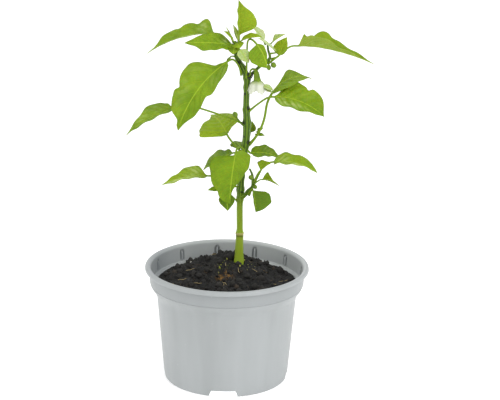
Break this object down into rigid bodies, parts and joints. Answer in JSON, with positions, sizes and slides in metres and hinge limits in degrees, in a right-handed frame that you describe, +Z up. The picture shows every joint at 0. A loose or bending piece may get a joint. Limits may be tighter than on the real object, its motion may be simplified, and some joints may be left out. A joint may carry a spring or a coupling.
{
  "type": "potted chilli pepper plant",
  "caption": "Young chilli pepper plant with one hanging white flower, small buds and drooping pointed leaves on an upright stem, in a round tapered nursery pot of peat.",
  "frame": {"origin": "centre of the flat disc in the middle of the pot's underside, on the pot's axis, at floor height", "axes": "+Z up along the pot's axis; -Y is the front, the side with a foot notch close to its middle; +X is to the right of a viewer at the front"},
  "size_m": [0.2058, 0.14, 0.3244],
  "materials": {
    "pot_plastic": "satin",
    "peat": "rough",
    "stem_green": "satin",
    "leaf_green": "satin",
    "calyx_green": "satin",
    "petal_white": "satin",
    "pistil_green": "satin",
    "bud_green": "satin"
  },
  "bodies": {
    "root": {"pot": "pot_plastic", "potting_soil": "peat", "main_stem": "stem_green", "right_branch": "stem_green", "low_shoot": "stem_green", "bud_shoot": "stem_green", "top_leaf": "leaf_green", "back_left_leaf": "leaf_green", "front_left_leaf": "leaf_green", "big_left_leaf": "leaf_green", "mid_left_leaf": "leaf_green", "mid_back_leaf": "leaf_green", "front_heart_leaf": "leaf_green", "low_back_leaf": "leaf_green", "low_left_leaf": "leaf_green", "low_front_leaf": "leaf_green", "right_dark_leaf": "leaf_green", "low_right_leaf": "leaf_green", "low_dark_leaf": "leaf_green", "long_right_leaf": "leaf_green", "arched_right_leaf": "leaf_green", "big_right_leaf": "leaf_green", "round_top_leaf": "leaf_green", "pale_young_leaf": "leaf_green", "far_tip_leaf": "leaf_green", "near_tip_leaf": "leaf_green", "wing_leaf": "leaf_green", "upright_leaf": "leaf_green", "strip_leaf": "leaf_green", "small_pale_leaf": "leaf_green", "tiny_leaf": "leaf_green", "bract": "leaf_green", "shoot_leaf_upper": "leaf_green", "shoot_leaf_lower": "leaf_green", "narrow_leaf": "leaf_green", "node_leaf": "leaf_green", "rear_leaf": "leaf_green", "flower_calyx": "calyx_green", "flower_petals": "petal_white", "flower_pistil": "pistil_green", "bud_right": "bud_green", "bud_right_low": "bud_green", "bud_shoot_front": "bud_green", "bud_shoot_side": "bud_green", "bud_left": "bud_green"}
  },
  "joints": []
}
